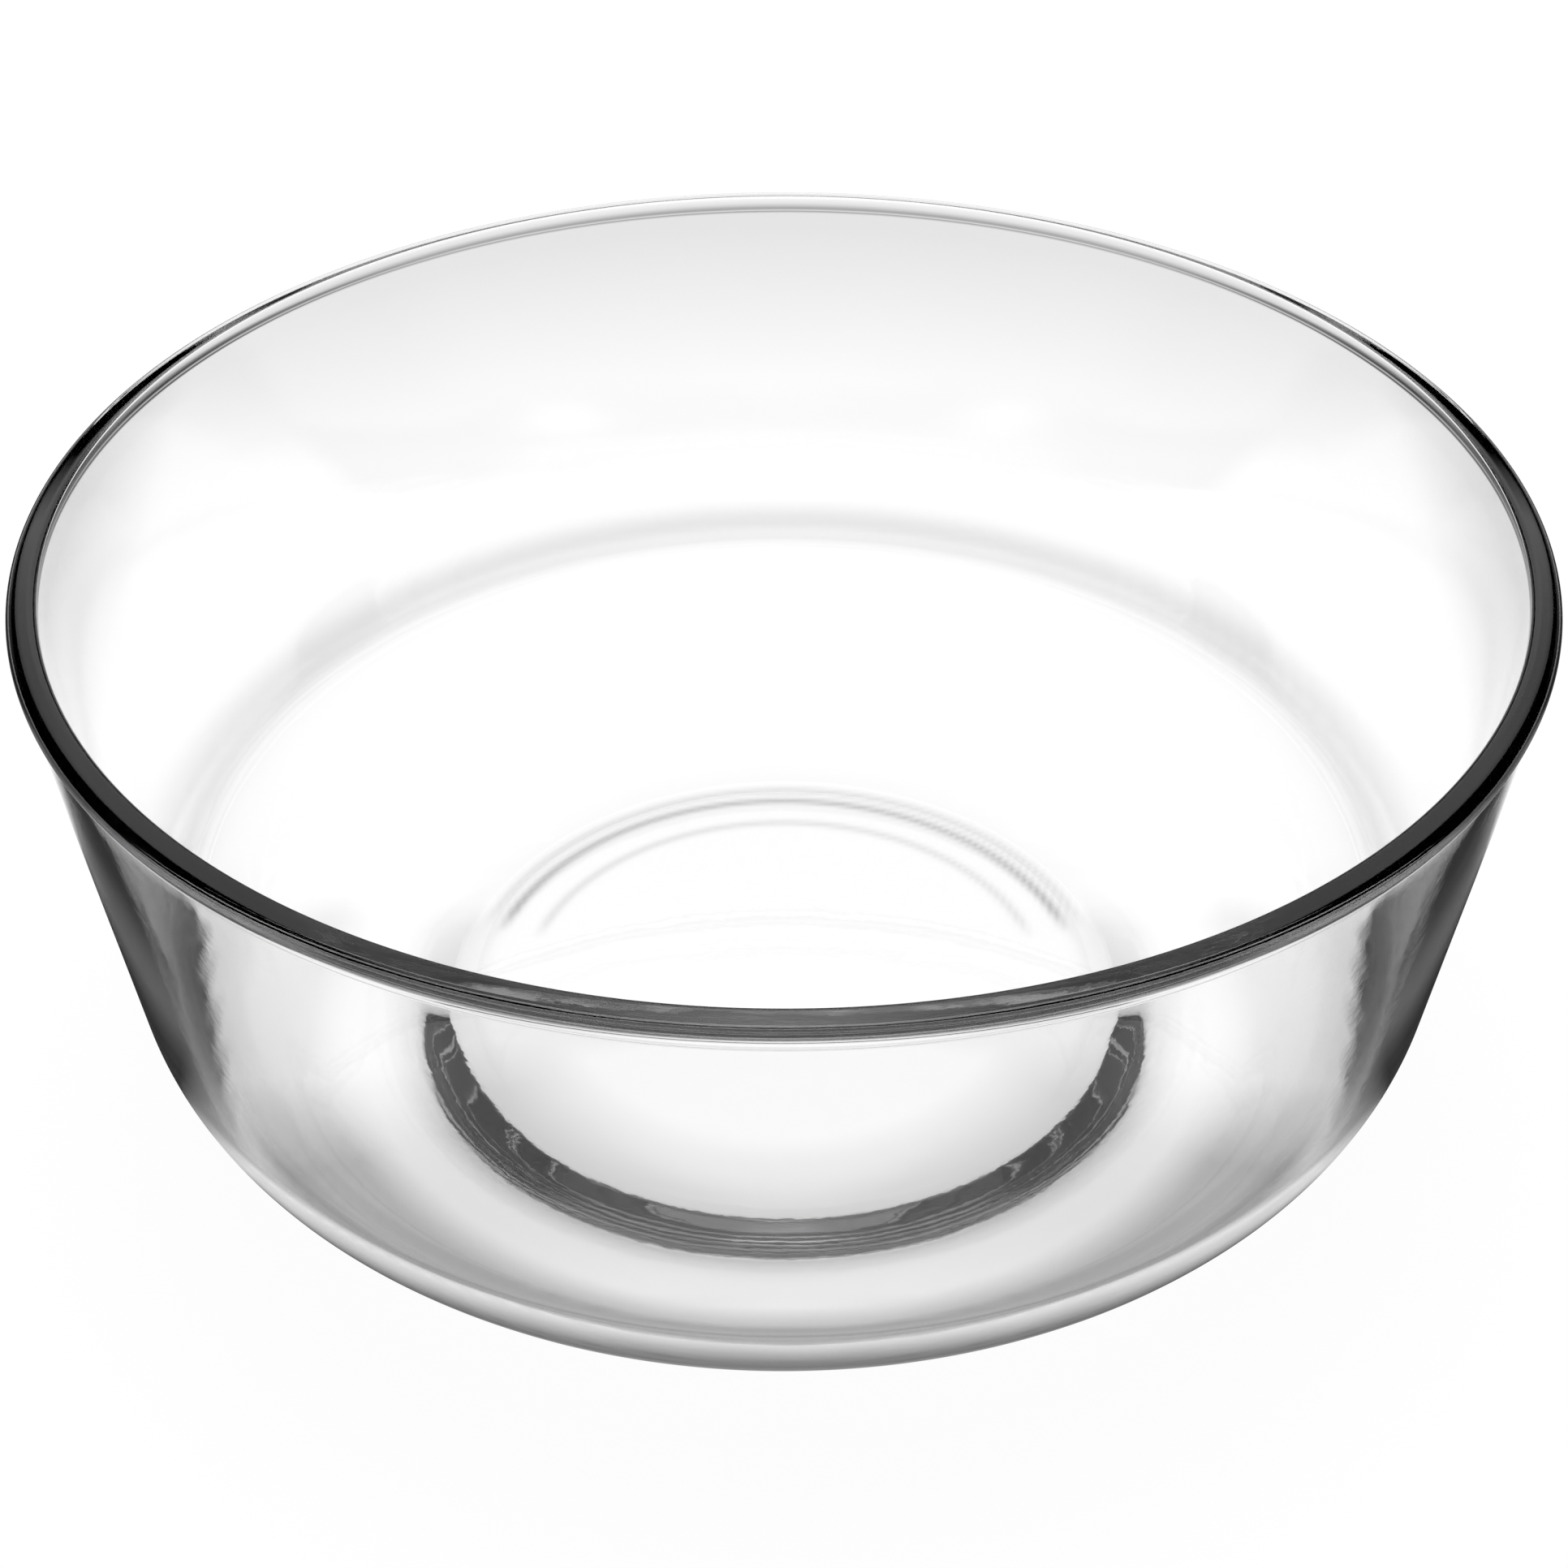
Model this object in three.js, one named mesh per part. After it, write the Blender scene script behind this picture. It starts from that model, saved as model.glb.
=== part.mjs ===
// Pressed clear-glass bowl: one solid of revolution about the Z axis, standing on a foot ring.
// Millimetres, +Z up, origin at the centre of the foot on the table.
import * as THREE from 'three';

// Driving dimensions
const RIM_RADIUS = 115; // widest point of the rim bead
const BOWL_HEIGHT = 92; // table to the top of the rim
const WALL_THICKNESS = 4.3; // square to the wall
const WALL_LEAN_DEG = 9.4; // outward lean of the wall from upright
const BEAD_OVERHANG = 0.6; // how far the rim bead stands out from the wall
const LIP_ROUND = 2; // radius of the rim's outer round
const LIP_EDGE = 0.9; // radius of the rim's tighter inner edge
const BEAD_FILLET = 0.8; // hollow round under the bead
const SHOULDER_RADIUS = 25.6; // outside bend between wall and underside
const BASE_THICKNESS = 2.8; // underside to inside floor
const FOOT_RADIUS = 54.4; // outer edge of the flat ring that the bowl stands on
const FOOT_LAND = 2.8; // width of that flat ring
const FOOT_HEIGHT = 6; // table to the underside around the foot
const FOOT_SLOPE_DEG = 31; // slope of the foot's outer side, from level
const FOOT_FILLET = 22.5; // hollow round between the foot's side and the underside
const PANEL_RECESS = 0.72; // depth of the hollow inside the foot ring
const PANEL_RAMP = 9; // width of the slope from the foot ring to the hollow

// Fineness of the faceted solid
const TURN_STEPS = 72;
const CURVE_STEPS = 5;
const SAME_POINT = 1e-6;

// Unit vectors in the (radius, height) plane: up along the wall, and square to it, outward
const lean = THREE.MathUtils.degToRad(WALL_LEAN_DEG);
const upWall = new THREE.Vector2(Math.sin(lean), Math.cos(lean));
const outOfWall = new THREE.Vector2(Math.cos(lean), -Math.sin(lean));

const along = (point, direction, distance) => point.clone().addScaledVector(direction, distance);

// A point on the wall's own straight line at a given height
function atHeight(pointOnLine, height) {
  return along(pointOnLine, upWall, (height - pointOnLine.y) / upWall.y);
}

// Centre of the bend that is tangent to a wall line and to a level floor, on their inner side
function bendCentre(pointOnLine, floorHeight, radius) {
  const onOffsetLine = along(pointOnLine, outOfWall, -radius);
  return atHeight(onOffsetLine, floorHeight + radius);
}

// Rim: square to the wall, with a large round outside and a tight one inside, flush with the inner wall
const lipThickness = WALL_THICKNESS + BEAD_OVERHANG;
const innerCorner = new THREE.Vector2(
  RIM_RADIUS - LIP_ROUND - (lipThickness - LIP_ROUND) * outOfWall.x + LIP_ROUND * upWall.x,
  BOWL_HEIGHT - LIP_EDGE * (1 + outOfWall.y - upWall.y),
);
const edgeCentre = along(along(innerCorner, outOfWall, LIP_EDGE), upWall, -LIP_EDGE);
const lipCentre = along(along(innerCorner, outOfWall, lipThickness - LIP_ROUND), upWall, -LIP_ROUND);
const lipInside = along(edgeCentre, outOfWall, -LIP_EDGE);

// Hollow under the bead, tangent to the rim's outer round and to the wall
const hollowOut = LIP_ROUND - BEAD_OVERHANG + BEAD_FILLET;
const hollowDown = Math.sqrt((LIP_ROUND + BEAD_FILLET) ** 2 - hollowOut ** 2);
const hollowCentre = along(along(lipCentre, outOfWall, hollowOut), upWall, -hollowDown);
const hollowAngle = Math.atan2(hollowDown, hollowOut) + lean;
const wallTopOutside = along(hollowCentre, outOfWall, -BEAD_FILLET);

// Shoulder: outside and inside bends, each tangent to its wall and its floor
const floorHeight = FOOT_HEIGHT + BASE_THICKNESS;
const innerShoulderRadius = SHOULDER_RADIUS - BASE_THICKNESS;
const outerBend = bendCentre(wallTopOutside, FOOT_HEIGHT, SHOULDER_RADIUS);
const innerBend = bendCentre(lipInside, floorHeight, innerShoulderRadius);

// Foot: a straight sloping side whose hollow round ends at the shoulder at the latest
const footSlope = THREE.MathUtils.degToRad(FOOT_SLOPE_DEG);
const footCornerRadius = FOOT_RADIUS + FOOT_HEIGHT / Math.tan(footSlope);
const bendReach = Math.tan(footSlope / 2);
const footFillet = Math.min(FOOT_FILLET, (outerBend.x - footCornerRadius) / bendReach);
const footBend = new THREE.Vector2(footCornerRadius + footFillet * bendReach, FOOT_HEIGHT - footFillet);

// Half section, from the axis under the foot, out and up the outside, over the rim and back inside
function bowlSection() {
  const section = new THREE.Path();
  const level = Math.PI / 2;
  const landInside = FOOT_RADIUS - FOOT_LAND;
  section.moveTo(0, PANEL_RECESS);
  section.lineTo(landInside - PANEL_RAMP, PANEL_RECESS);
  section.quadraticCurveTo(landInside - PANEL_RAMP / 2, PANEL_RECESS, landInside, 0);
  section.lineTo(FOOT_RADIUS, 0);
  // each arc is joined to what comes before it by a straight line
  section.absarc(footBend.x, footBend.y, footFillet, level + footSlope, level, true);
  section.absarc(outerBend.x, outerBend.y, SHOULDER_RADIUS, -level, -lean, false);
  section.absarc(hollowCentre.x, hollowCentre.y, BEAD_FILLET, Math.PI - lean, Math.PI - hollowAngle, true);
  section.absarc(lipCentre.x, lipCentre.y, LIP_ROUND, -hollowAngle, level - lean, false);
  section.absarc(edgeCentre.x, edgeCentre.y, LIP_EDGE, level - lean, Math.PI - lean, false);
  section.absarc(innerBend.x, innerBend.y, innerShoulderRadius, -lean, -level, true);
  section.lineTo(0, floorHeight);
  const points = section.getPoints(CURVE_STEPS);
  return points.filter((point, i) => i === 0 || point.distanceTo(points[i - 1]) > SAME_POINT);
}

const clearGlass = new THREE.MeshStandardMaterial({
  color: 0xf4f6f6,
  roughness: 0.02,
  metalness: 0,
  transparent: true,
  opacity: 0.35,
});

const bowlGeometry = new THREE.LatheGeometry(bowlSection(), TURN_STEPS);
bowlGeometry.rotateX(Math.PI / 2); // the lathe turns about Y, the bowl about Z

const bowl = new THREE.Mesh(bowlGeometry, clearGlass);
bowl.name = 'bowl';

const glassBowl = new THREE.Group();
glassBowl.add(bowl);

export default glassBowl;
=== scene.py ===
"""Pressed clear-glass bowl on a pale studio table, laid out as an add-on and run as a script.

Objects are in metres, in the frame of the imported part: +Z up, the origin under the foot's centre. Sizes are
written in millimetres.
"""

import math

import bpy
import numpy as np
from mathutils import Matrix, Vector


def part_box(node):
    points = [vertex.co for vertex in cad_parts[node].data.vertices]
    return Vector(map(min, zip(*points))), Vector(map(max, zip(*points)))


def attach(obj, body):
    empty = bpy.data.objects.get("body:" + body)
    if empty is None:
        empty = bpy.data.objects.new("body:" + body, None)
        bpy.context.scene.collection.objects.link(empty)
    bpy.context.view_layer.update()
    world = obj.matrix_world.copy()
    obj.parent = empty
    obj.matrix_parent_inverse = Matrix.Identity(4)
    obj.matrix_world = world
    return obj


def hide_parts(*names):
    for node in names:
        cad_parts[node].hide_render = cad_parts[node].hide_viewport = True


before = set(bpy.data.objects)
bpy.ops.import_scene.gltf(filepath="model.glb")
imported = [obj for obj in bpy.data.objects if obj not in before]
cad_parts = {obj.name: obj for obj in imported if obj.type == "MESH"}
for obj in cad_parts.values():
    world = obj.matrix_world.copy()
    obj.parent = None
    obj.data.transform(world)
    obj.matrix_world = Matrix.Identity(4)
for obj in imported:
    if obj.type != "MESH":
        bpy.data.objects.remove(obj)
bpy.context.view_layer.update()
BOWL_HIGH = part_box("bowl")[1]

bl_info = {
    "name": "Pressed Glass Bowl",
    "version": (1, 0, 0),
    "blender": (4, 5, 0),
    "location": "View3D > Sidebar > Glass Bowl",
    "description": "Builds a clear pressed-glass bowl and the table it is shown on",
    "category": "Add Mesh",
}

MM = 0.001
# Steps round the bowl
TURNS = 384
# Waves in the pressed surface: share of the height, times round the bowl, turn for each millimetre along the
# section, and start. WAVES_OUT and WAVES_UP fade them by the radius and by the height above the table
WAVES = ((0.5, 5, 0.11, 0.4), (0.35, 11, -0.19, 2.1), (0.25, 23, 0.37, 0.9), (0.15, 41, -0.55, 3.3))
WAVES_OUT = ((8, 0.0), (30, 1.0))
WAVES_UP = ((0.05, 0.0), (0.6, 1.0), (78, 1.0), (86, 0.0))
# Turning marks of the mould on the outside of the shoulder: step from ring to ring, least radius and heights
MARK_STEP = 4.6
MARKS_FROM = 68.0
MARKS_UP = ((4, 0.0), (8, 1.0), (26, 1.0), (40, 0.0))
# What the glass shows of the table: painted light and shade, as stops of millimetres from the bowl's axis
# and brightness. SIDE_SHADOW and BACK_SIDES go by millimetres sideways. In front lie painted rings of light
# and shade in place of those that the bowl throws, and at the sides its painted dark shadow, whose edge moves
# out by SHADOW_SLANT for each millimetre back. The back is painted evenly bright and fades outwards, and far
# off the table is plain
FRONT_RINGS = (
    (36, 1.1), (57, 0.62), (64, 0.83), (70, 0.83), (78, 0.36), (86, 0.34), (93, 0.08), (105, 0.85),
    (112, 0.43), (120, 0.4), (126, 0.08), (165, 0.15), (210, 0.6),
)
SIDE_RINGS = ((48, 1.0), (55, 0.85), (64, 1.0), (72, 0.95), (80, 0.8), (90, 0.95))
SIDE_SHADOW = ((100, 1.0), (103, 0.03), (116, 0.03), (128, 0.14), (144, 0.03), (160, 0.03), (178, 0.45))
SHADOW_SLANT = 0.25
BACK_FADE = ((140, 1.0), (210, 0.92), (295, 0.7), (402, 0.44), (536, 0.22))
BACK_SIDES = ((135, 1.0), (150, 0.75), (165, 0.45), (215, 0.08))
FAR_TABLE = ((450, 0.0), (900, 1.0))
FAR_LEVEL = 0.85
# How the front and the back go over into the sides, by the cosine of the direction
FRONT_TURN = ((0.25, 0.0), (0.5, 1.0))
BACK_TURN = ((0.24, 0.0), (0.36, 1.0))
# Painted shadow lines of the foot ring at the back: radius and depth
FOOT_LINES = ((43.0, 0.22), (49.4, 0.5), (52.1, 0.22))
FOOT_LINE_WIDTH = 0.9
# Painted shadow of the rim, a ring whose centre lies behind the bowl's axis
RIM_SHADOW_BACK = 40.0
RIM_SHADOW_RADIUS = 112.0
RIM_SHADOW_DEPTH = 0.24
RIM_SHADOW_WIDTH = 6.0
# Painted soft patch of light at each front corner: place, width and level
PATCH_PLACE = (115.0, -100.0)
PATCH_WIDTH = 25.0
PATCH_LEVEL = 0.9
# The table's grid, out from the axis: first place, end and step where it is fine and where it is coarse,
# then first place, last place and count where it widens. The gap keeps the table clear of the foot
FINE_GRID = (0.5, 66.0, 1.0)
COARSE_GRID = (67.0, 240.0, 3.0)
WIDE_GRID = (250.0, 4000.0, 20)
TABLE_GAP = 0.1
# What the glass shows of the room, as stops of the sine of the height or, for the names with ACROSS, of the
# sine sideways: a lit ceiling, a pale horizon, a broad softbox at the back and a narrow lamp high above it
CEILING = ((0.951, 0.0), (0.978, 1.0))
HORIZON = ((0.12, 0.5), (0.26, 0.0))
HORIZON_ACROSS = ((0.5, 1.0), (0.8, 0.0))
SOFTBOX_RISE = ((0.35, 0.0), (0.41, 0.95))
SOFTBOX_ACROSS = ((0.38, 1.0), (0.46, 0.0))
LAMP_RISE = ((0.55, 0.0), (0.85, 2.6))
LAMP_ACROSS = ((0.04, 1.0), (0.26, 0.0))
# Bounces of light, enough for the thick rim and foot
GLASS_BOUNCES = 48
MIRROR_BOUNCES = 24
# Width of the camera's frame, in the millimetres that Blender takes
SENSOR_WIDTH = 36.0


def srgb(hex_colour):
    """Linear RGB and alpha 1 from an sRGB hex string such as 'fbfbfb'."""
    values = np.array([int(hex_colour[i:i + 2], 16) for i in (0, 2, 4)]) / 255.0
    linear = np.where(values <= 0.04045, values / 12.92, ((values + 0.055) / 1.055) ** 2.4)
    return (*linear.tolist(), 1.0)


def amount(name, description, value, **settings):
    """A number property that is never below nothing."""
    return bpy.props.FloatProperty(name=name, description=description, default=value, min=0.0, **settings)


def length(name, description, millimetres):
    """A length property, written in millimetres and kept in metres."""
    return amount(name, description, millimetres * MM, unit="LENGTH", precision=5)


def angle(name, description, degrees):
    """An angle property, written in degrees and kept in radians."""
    return amount(name, description, math.radians(degrees), subtype="ANGLE")


def colour(name, description, hex_colour):
    """A colour property, written as sRGB hex and kept linear."""
    return bpy.props.FloatVectorProperty(
        name=name, description=description, default=srgb(hex_colour),
        subtype="COLOR", size=4, min=0.0, max=1.0,
    )


class BowlSizes(bpy.types.PropertyGroup):
    """The section of the bowl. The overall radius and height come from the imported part."""
    rim_radius: length("Rim radius", "Widest point of the rim bead", BOWL_HIGH.x / MM)
    height: length("Height", "Table to the top of the rim", BOWL_HIGH.z / MM)
    wall: length("Wall", "Thickness square to the wall", 4.3)
    bead_overhang: length("Bead overhang", "How far the rim bead stands out from the wall", 0.6)
    lip_round: length("Lip round", "Radius of the rim's outer round", 2.0)
    lip_edge: length("Lip edge", "Radius of the rim's tighter inner edge", 0.9)
    bead_fillet: length("Bead fillet", "Hollow round under the bead", 0.8)
    lean: angle("Lean", "Outward lean of the wall from upright", 9.4)
    shoulder_radius: length("Shoulder", "Outside bend between wall and underside", 25.6)
    base: length("Base", "Underside to inside floor", 2.8)
    foot_radius: length("Foot radius", "Outer edge of the flat ring the bowl stands on", 54.4)
    foot_land: length("Foot land", "Width of that flat ring", 2.8)
    foot_height: length("Foot height", "Table to the underside around the foot", 6.0)
    foot_slope: angle("Foot slope", "Slope of the foot's outer side", 31.0)
    foot_fillet: length("Foot fillet", "Hollow round between the foot and the underside", 22.5)
    panel_recess: length("Recess", "Depth of the hollow inside the foot ring", 0.72)
    panel_ramp: length("Ramp", "Width of the slope from foot ring to hollow", 9.0)
    ripple: length("Ripple", "Height of the faint waves that pressing leaves in the glass", 0.012)
    mould_marks: length("Mould marks", "Height of the mould's faint turning marks on the shoulder", 0.006)


class GlassLook(bpy.types.PropertyGroup):
    """Clear soda-lime glass."""
    tint: colour("Tint", "Colour that the surface lets through", "ffffff")
    body_tint: colour("Body tint", "Colour that a long way through the glass goes towards", "c2c1c2")
    density: amount("Density", "Absorption per metre of glass", 24.0)
    skin_size: length("Skin size", "Width of the specks of the pressed skin", 2.2)
    skin_height: length("Skin height", "Height of the specks of the pressed skin", 0.003)
    ior: amount("IOR", "Bending power of the glass", 1.5)
    roughness: amount("Roughness", "Of the fire-polished surface", 0.015, max=1.0)


class StudioSetup(bpy.types.PropertyGroup):
    """Table, light and camera."""
    table: colour("Table", "Pale table and background", "fbfbfb")
    shadow: amount("Shadow", "Share of the table's white that the bowl can shade", 0.03)
    # Brightness of the painted light and shade on the table that the glass shows
    painted_table_level: amount("Table level", "Brightness of the lit table seen in the glass", 1.15)
    light_width: length("Light width", "Of the round softbox over the table", 1200.0)
    light_height: length("Light height", "Above the table", 1400.0)
    light_back: length("Light place", "How far behind the bowl's axis the softbox hangs", 200.0)
    light_power: amount("Light power", "Of the softbox", 30.0, unit="POWER")
    camera_distance: length("Camera distance", "Level distance from the bowl's axis", 414.0)
    camera_height: length("Camera height", "Above the table", 349.8)
    camera_tilt: angle("Tilt", "Camera's look below level", 36.42)
    focal_length: amount("Lens", "Focal length of the camera", 74.42, unit="CAMERA")


# Section of the bowl

def ramp(values, stops):
    """Straight-line steps between (place, level) stops, level beyond the ends."""
    places, levels = zip(*stops)
    return np.interp(values, places, levels)


def line(start, end, count):
    """Points from start to end in equal steps, leaving out the end."""
    steps = np.linspace(0.0, 1.0, count, endpoint=False)[:, None]
    return np.asarray(start) * (1 - steps) + np.asarray(end) * steps


def arc(centre, radius, first, last, count):
    """Points on a circle from angle first towards angle last, leaving out the last."""
    angles = np.linspace(first, last, count, endpoint=False)
    return np.asarray(centre) + radius * np.stack([np.cos(angles), np.sin(angles)], axis=1)


def bezier(points, count):
    """Points on the Bezier curve of any order with the given controls, leaving out the end."""
    controls = np.asarray(points, float)
    order = len(controls) - 1
    steps = np.linspace(0.0, 1.0, count, endpoint=False)[:, None]
    return sum(
        math.comb(order, i) * (1 - steps) ** (order - i) * steps ** i * controls[i]
        for i in range(order + 1)
    )


def bowl_section(size):
    """Half section as (radius, height) points, in metres.

    It runs from the axis out under the foot, up, over the rim and back in. The last value of each stretch is
    its count of points.
    """
    lean = size.lean
    up = np.array([math.sin(lean), math.cos(lean)])
    out = np.array([math.cos(lean), -math.sin(lean)])
    over_round = size.wall + size.bead_overhang - size.lip_round
    corner = np.array([
        size.rim_radius - size.lip_round - over_round * out[0] + size.lip_round * up[0],
        size.height - size.lip_edge * (1 + out[1] - up[1]),
    ])
    edge_centre = corner + size.lip_edge * (out - up)
    lip_centre = corner + over_round * out - size.lip_round * up
    lip_inside = edge_centre - size.lip_edge * out
    fillet_out = size.lip_round - size.bead_overhang + size.bead_fillet
    fillet_down = math.sqrt((size.lip_round + size.bead_fillet) ** 2 - fillet_out ** 2)
    fillet_centre = lip_centre + fillet_out * out - fillet_down * up
    wall_top = fillet_centre - size.bead_fillet * out
    under_bead = math.atan2(fillet_down, fillet_out) + lean
    floor = size.foot_height + size.base
    inner_bend = size.shoulder_radius - size.base

    def bend_centre(on_wall, level, radius):
        """Centre of the round that touches both the wall's face and the level."""
        on_offset = on_wall - radius * out
        return on_offset + up * ((level + radius - on_offset[1]) / up[1])

    outer = bend_centre(wall_top, size.foot_height, size.shoulder_radius)
    inner = bend_centre(lip_inside, floor, inner_bend)
    land_inside = size.foot_radius - size.foot_land
    ramp_start = land_inside - size.panel_ramp
    ramp_middle = land_inside - size.panel_ramp / 2
    recess = size.panel_recess
    slope = size.foot_slope
    bend_reach = size.foot_fillet * math.tan(slope / 2)
    foot_corner = np.array([size.foot_radius + size.foot_height / math.tan(slope), size.foot_height])
    foot_bend = foot_corner + np.array([bend_reach, -size.foot_fillet])
    slope_end = foot_corner - bend_reach * np.array([math.cos(slope), math.sin(slope)])
    return np.concatenate([
        line((0.0, recess), (ramp_start, recess), 10),
        bezier([(ramp_start, recess), (ramp_middle, recess), (land_inside, 0.0)], 14),
        line((land_inside, 0.0), (size.foot_radius, 0.0), 4),
        line((size.foot_radius, 0.0), slope_end, 8),
        arc(foot_bend, size.foot_fillet, math.pi / 2 + slope, math.pi / 2, 14),
        line((foot_bend[0], size.foot_height), (outer[0], size.foot_height), 6),
        arc(outer, size.shoulder_radius, -math.pi / 2, -lean, 48),
        line(outer + size.shoulder_radius * out, wall_top, 14),
        arc(fillet_centre, size.bead_fillet, math.pi - lean, math.pi - under_bead, 10),
        arc(lip_centre, size.lip_round, -under_bead, math.pi / 2 - lean, 24),
        line(lip_centre + size.lip_round * up, edge_centre + size.lip_edge * up, 4),
        arc(edge_centre, size.lip_edge, math.pi / 2 - lean, math.pi - lean, 12),
        line(lip_inside, inner + inner_bend * out, 14),
        arc(inner, inner_bend, -lean, -math.pi / 2, 32),
        line((inner[0], floor), (0.0, floor), 10),
        np.array([[0.0, floor]]),
    ])


# Meshes

def pressed_waves(section, angles, size):
    """Height of the surface's faint waves over the section's points and the turn angles, in metres.

    Four sine waves run slantwise round the bowl, each a whole number of times, and fine rings lie round the
    outside of the shoulder. All of them fade out towards the axis, on the flat ring that the bowl stands on
    and towards the fire-polished rim.
    """
    run = np.concatenate([[0.0], np.cumsum(np.hypot(*np.diff(section, axis=0).T))]) / MM
    waves = sum(
        share * np.sin(count * angles[:, None] + pitch * run[None, :] + start)
        for share, count, pitch, start in WAVES
    )
    radius, height = section.T / MM
    outside = (run < run[np.argmax(radius)]) & (radius > MARKS_FROM)
    rings = np.sin(run * 2 * math.pi / MARK_STEP) * outside * ramp(height, MARKS_UP)
    fade = ramp(radius, WAVES_OUT) * ramp(height, WAVES_UP)
    return fade * (size.ripple * waves + size.mould_marks * rings)


def strips(rows, next_rows, count):
    """Quads between rows of count vertices each and the rows next to them."""
    along = np.arange(count - 1)
    low = rows[:, None] * count + along
    high = next_rows[:, None] * count + along
    return np.stack([low, high, high + 1, low + 1], axis=-1).reshape(-1, 4)


def revolve(section, turns, size):
    """Turns a half section about Z: (radius, height) and a turn angle give (radius cos, radius sin, height).

    Each point is first moved square to the section by the height of the pressed waves there. The first and
    last points lie on the axis and become one vertex each, so the poles are closed fans. Returns vertices,
    quads and triangles as arrays.
    """
    angles = np.linspace(0.0, 2 * math.pi, turns, endpoint=False)
    run = np.gradient(section, axis=0)
    outward = np.stack([run[:, 1], -run[:, 0]], axis=1) / np.linalg.norm(run, axis=1)[:, None]
    waved = section[None] + pressed_waves(section, angles, size)[..., None] * outward[None]
    ring = waved[:, 1:-1]
    count = ring.shape[1]
    grid = np.empty((turns, count, 3))
    grid[..., 0] = np.cos(angles)[:, None] * ring[..., 0]
    grid[..., 1] = np.sin(angles)[:, None] * ring[..., 0]
    grid[..., 2] = ring[..., 1]
    poles = np.array([[0.0, 0.0, section[0, 1]], [0.0, 0.0, section[-1, 1]]])
    vertices = np.concatenate([grid.reshape(-1, 3), poles])
    turn = np.arange(turns)
    after = (turn + 1) % turns
    bottom = np.full(turns, turns * count)
    under = np.stack([bottom, after * count, turn * count], axis=-1)
    inside = np.stack([bottom + 1, turn * count + count - 1, after * count + count - 1], axis=-1)
    return vertices, strips(turn, after, count), np.concatenate([under, inside])


def add_object(name, data):
    """An object of the given data at the origin of the scene."""
    made = bpy.data.objects.new(name, data)
    bpy.context.scene.collection.objects.link(made)
    return made


def mesh_object(name, vertices, *faces):
    """A smooth-shaded mesh object from an array of vertices and arrays of faces."""
    mesh = bpy.data.meshes.new(name)
    mesh.from_pydata(vertices.tolist(), [], [face for block in faces for face in block.tolist()])
    mesh.shade_smooth()
    mesh.update()
    mesh.validate()
    return add_object(name, mesh)


# Materials

def add_node(tree, kind, settings=(), inputs=()):
    """Adds one node. Settings are its attributes, inputs are values or output sockets by name or index."""
    node = tree.nodes.new(kind)
    for key, value in dict(settings).items():
        setattr(node, key, value)
    for key, value in dict(inputs).items():
        if isinstance(value, bpy.types.NodeSocket):
            tree.links.new(value, node.inputs[key])
        else:
            node.inputs[key].default_value = value
    return node


def new_material(name):
    """An empty node material with its node tree and output node."""
    material = bpy.data.materials.new(name)
    material.use_nodes = True
    tree = material.node_tree
    tree.nodes.clear()
    return material, tree, add_node(tree, "ShaderNodeOutputMaterial")


def pressed_glass(look):
    """Clear soda-lime glass, pressed and fire-polished.

    It has no colour of its own face on and is dark where light runs a long way inside it, as along the rim
    and at the foot. The faint skin that the mould leaves makes the edges of what is seen through it a little
    uneven.
    """
    material, tree, output = new_material("pressed_soda_lime_glass")
    place = add_node(tree, "ShaderNodeTexCoord")
    skin = add_node(tree, "ShaderNodeTexNoise", inputs={
        "Vector": place.outputs["Object"], "Scale": 1 / look.skin_size, "Detail": 2.0,
    })
    uneven = add_node(tree, "ShaderNodeBump", inputs={
        "Strength": 1.0, "Distance": look.skin_height, "Height": skin.outputs["Fac"],
    })
    glass = add_node(tree, "ShaderNodeBsdfPrincipled", inputs={
        "Base Color": look.tint, "Roughness": look.roughness, "IOR": look.ior, "Transmission Weight": 1.0,
        "Normal": uneven.outputs["Normal"],
    })
    body = add_node(tree, "ShaderNodeVolumeAbsorption", inputs={
        "Color": look.body_tint, "Density": look.density,
    })
    tree.links.new(glass.outputs["BSDF"], output.inputs["Surface"])
    tree.links.new(body.outputs["Volume"], output.inputs["Volume"])
    return material


def pale_table(studio):
    """Matt pale table top: plain and white to the camera, with the bowl's soft shadow on it.

    To the glass it glows with a painted pool of light and painted shade, set by its glow attribute.
    """
    material, tree, output = new_material("matt_table_top")
    material.cycles.emission_sampling = "NONE"
    pool = add_node(tree, "ShaderNodeAttribute", {"attribute_name": "glow"})
    seen = add_node(tree, "ShaderNodeLightPath")
    level = add_node(tree, "ShaderNodeMix", {"data_type": "FLOAT"}, {
        "Factor": seen.outputs["Is Camera Ray"], "A": pool.outputs["Fac"], "B": 1.0,
    })
    shaded = add_node(tree, "ShaderNodeMath", {"operation": "MULTIPLY"}, {
        0: seen.outputs["Is Camera Ray"], 1: studio.shadow,
    })
    glow = add_node(tree, "ShaderNodeEmission", inputs={
        "Color": (1, 1, 1, 1), "Strength": level.outputs["Result"],
    })
    matt = add_node(tree, "ShaderNodeBsdfDiffuse", inputs={"Color": studio.table})
    both = add_node(tree, "ShaderNodeMixShader", inputs={
        "Fac": shaded.outputs["Value"], 1: glow.outputs["Emission"], 2: matt.outputs["BSDF"],
    })
    tree.links.new(both.outputs["Shader"], output.inputs["Surface"])
    return material


# Table, room, light and camera

def hump(distance, width):
    """Soft round hump: 1 where the distance is nothing, falling off with its square over the width."""
    return np.exp(-(distance / width) ** 2)


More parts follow.
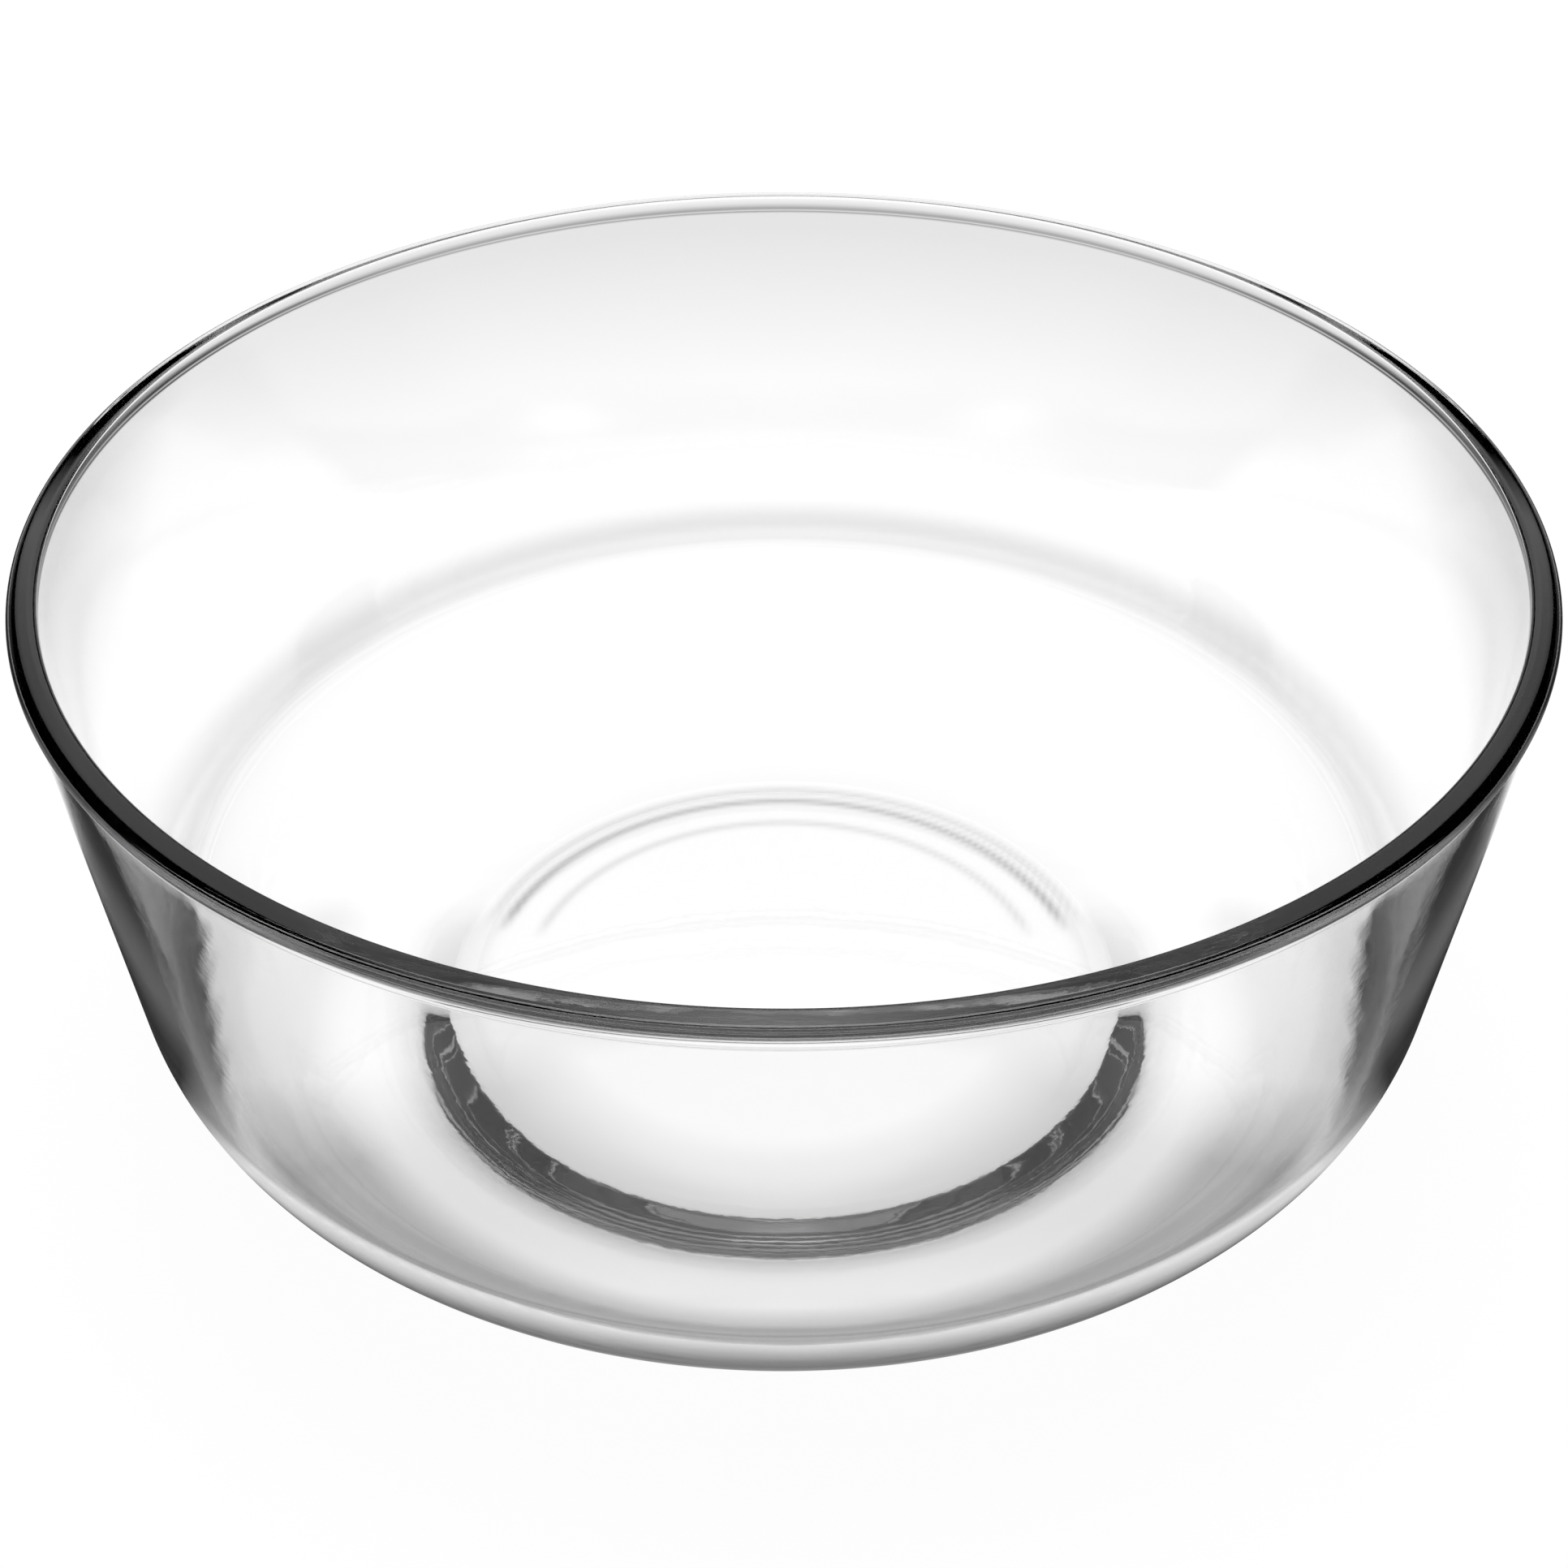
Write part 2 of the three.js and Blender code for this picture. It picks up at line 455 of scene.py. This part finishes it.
def painted_table_light(x, y):
    """Painted light and shade of the table, in millimetres from the bowl's axis, as the glass shows it.

    Three parts go over into each other by direction: front, side and back. The painted shadows of the foot
    ring and of the rim are soft rings at the back, and at each front corner lies a painted soft round patch
    of light.
    """
    distance = np.hypot(x, y)
    ahead = -y / np.maximum(distance, 1.0)
    front = ramp(ahead, FRONT_TURN)
    back = ramp(-ahead, BACK_TURN)
    # The side's painted dark shadow
    shadow = ramp(np.abs(x) - SHADOW_SLANT * y, SIDE_SHADOW)
    side = (1 - front - back) * ramp(distance, SIDE_RINGS) * shadow
    from_rim = np.hypot(x, y - RIM_SHADOW_BACK) - RIM_SHADOW_RADIUS
    painted_rim_shadow = RIM_SHADOW_DEPTH * hump(from_rim, RIM_SHADOW_WIDTH)
    lines = painted_rim_shadow + sum(depth * hump(distance - radius, FOOT_LINE_WIDTH) for radius, depth in FOOT_LINES)
    rear = (ramp(distance, BACK_FADE) - lines) * ramp(np.abs(x), BACK_SIDES)
    from_patch = np.hypot(np.abs(x) - PATCH_PLACE[0], y - PATCH_PLACE[1])
    patch = PATCH_LEVEL * hump(from_patch, PATCH_WIDTH)
    near = front * ramp(distance, FRONT_RINGS) + side + back * rear + patch
    far = ramp(distance, FAR_TABLE)
    return (1 - far) * near + far * FAR_LEVEL


def table_top(studio):
    """The table: a grid, fine under the bowl and wide far off, with its painted glow of light and shade at
    each vertex.
    """
    half = np.concatenate([np.arange(*FINE_GRID), np.arange(*COARSE_GRID), np.geomspace(*WIDE_GRID)])
    axis = np.concatenate([-half[::-1], half])
    x, y = np.meshgrid(axis, axis, indexing="ij")
    vertices = np.column_stack([x.ravel(), y.ravel(), np.full(x.size, -TABLE_GAP)]) * MM
    rows = np.arange(len(axis) - 1)
    table = mesh_object("table", vertices, strips(rows, rows + 1, len(axis)))
    table.data.materials.append(pale_table(studio))
    glow = studio.painted_table_level * painted_table_light(x, y).ravel()
    table.data.attributes.new("glow", "FLOAT", "POINT").data.foreach_set("value", glow)
    return table


def studio_dome(world):
    """The room: white to the camera, and to the glass dark with a lit ceiling.

    It has a softbox and a lamp at the back, and a pale horizon at the front and back.
    """
    world.use_nodes = True
    tree = world.node_tree
    tree.nodes.clear()
    output = add_node(tree, "ShaderNodeOutputWorld")
    place = add_node(tree, "ShaderNodeTexCoord")
    part = add_node(tree, "ShaderNodeSeparateXYZ", inputs={"Vector": place.outputs["Generated"]})
    seen = add_node(tree, "ShaderNodeLightPath")

    def joined(operation, *values):
        """What a Math node makes of the values or sockets."""
        node = add_node(tree, "ShaderNodeMath", {"operation": operation}, enumerate(values))
        return node.outputs["Value"]

    def graded(source, stops):
        """What a Color Ramp node makes of the source, with two (place, grey) stops."""
        node = add_node(tree, "ShaderNodeValToRGB", inputs={"Fac": source})
        for element, (where, grey) in zip(node.color_ramp.elements, stops):
            element.position = where
            element.color = (grey, grey, grey, 1.0)
        return node.outputs["Color"]

    height = part.outputs["Z"]
    across = joined("ABSOLUTE", part.outputs["X"])
    horizon = joined("MULTIPLY", graded(across, HORIZON_ACROSS), graded(height, HORIZON))
    softbox = joined("MULTIPLY", graded(across, SOFTBOX_ACROSS), graded(height, SOFTBOX_RISE))
    lamp = joined("MULTIPLY", graded(across, LAMP_ACROSS), graded(height, LAMP_RISE))
    behind = joined("GREATER_THAN", part.outputs["Y"], 0.0)
    lights = joined("MULTIPLY", joined("MAXIMUM", softbox, lamp), behind)
    room = joined("MAXIMUM", joined("MAXIMUM", lights, horizon), graded(height, CEILING))
    sky = add_node(tree, "ShaderNodeBackground", inputs={
        "Color": (1, 1, 1, 1), "Strength": joined("MAXIMUM", room, seen.outputs["Is Camera Ray"]),
    })
    tree.links.new(sky.outputs["Background"], output.inputs["Surface"])


def overhead_softbox(studio):
    """The round softbox over the table, which gives the bowl its shadow and isn't seen in the glass."""
    light = bpy.data.lights.new("softbox", "AREA")
    light.shape = "DISK"
    light.size = studio.light_width
    light.energy = studio.light_power
    softbox = add_object("softbox", light)
    softbox.location = (0.0, studio.light_back, studio.light_height)
    softbox.visible_glossy = False
    softbox.visible_transmission = False


def studio_camera(studio):
    """The camera, in front of the bowl and tilted down at it."""
    data = bpy.data.cameras.new("camera")
    data.sensor_fit = "HORIZONTAL"
    data.sensor_width = SENSOR_WIDTH
    data.lens = studio.focal_length
    camera = add_object("camera", data)
    camera.location = (0.0, -studio.camera_distance, studio.camera_height)
    camera.rotation_euler = (math.pi / 2 - studio.camera_tilt, 0.0, 0.0)
    return camera


class BOWL_OT_pressed_bowl(bpy.types.Operator):
    """Make the bowl, one piece of pressed glass"""
    bl_idname = "glass_bowl.pressed_bowl"
    bl_label = "Pressed Bowl"

    def execute(self, context):
        scene = context.scene
        section = bowl_section(scene.bowl_sizes)
        bowl = mesh_object("pressed_bowl", *revolve(section, TURNS, scene.bowl_sizes))
        bowl.data.materials.append(pressed_glass(scene.glass_look))
        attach(bowl, "root")
        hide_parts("bowl")
        return {"FINISHED"}


class BOWL_OT_stage(bpy.types.Operator):
    """Make the table, the light and the camera"""
    bl_idname = "glass_bowl.stage"
    bl_label = "Table, Light and Camera"

    def execute(self, context):
        scene = context.scene
        studio = scene.studio_setup
        table = table_top(studio)
        overhead_softbox(studio)
        scene.world = bpy.data.worlds.new("studio")
        studio_dome(scene.world)
        scene.camera = studio_camera(studio)
        scene.view_settings.view_transform = "Standard"
        scene.cycles.max_bounces = GLASS_BOUNCES
        scene.cycles.transmission_bounces = GLASS_BOUNCES
        scene.cycles.glossy_bounces = MIRROR_BOUNCES
        return {"FINISHED"}


class BOWL_PT_sidebar(bpy.types.Panel):
    """Lists the bowl's operators and sizes"""
    bl_label = "Glass Bowl"
    bl_idname = "BOWL_PT_sidebar"
    bl_space_type = "VIEW_3D"
    bl_region_type = "UI"
    bl_category = "Glass Bowl"

    def draw(self, context):
        for operator in (BOWL_OT_pressed_bowl, BOWL_OT_stage):
            self.layout.operator(operator.bl_idname)
        for group in (context.scene.bowl_sizes, context.scene.glass_look, context.scene.studio_setup):
            for name in group.bl_rna.properties.keys():
                if name not in ("rna_type", "name"):
                    self.layout.prop(group, name)


CLASSES = (BowlSizes, GlassLook, StudioSetup, BOWL_OT_pressed_bowl, BOWL_OT_stage, BOWL_PT_sidebar)
GROUPS = {"bowl_sizes": BowlSizes, "glass_look": GlassLook, "studio_setup": StudioSetup}


def register():
    for cls in CLASSES:
        bpy.utils.register_class(cls)
    for name, group in GROUPS.items():
        setattr(bpy.types.Scene, name, bpy.props.PointerProperty(type=group))


def unregister():
    for name in GROUPS:
        delattr(bpy.types.Scene, name)
    for cls in reversed(CLASSES):
        bpy.utils.unregister_class(cls)


def main():
    register()
    bpy.ops.glass_bowl.pressed_bowl()
    bpy.ops.glass_bowl.stage()


if __name__ == "__main__":
    main()
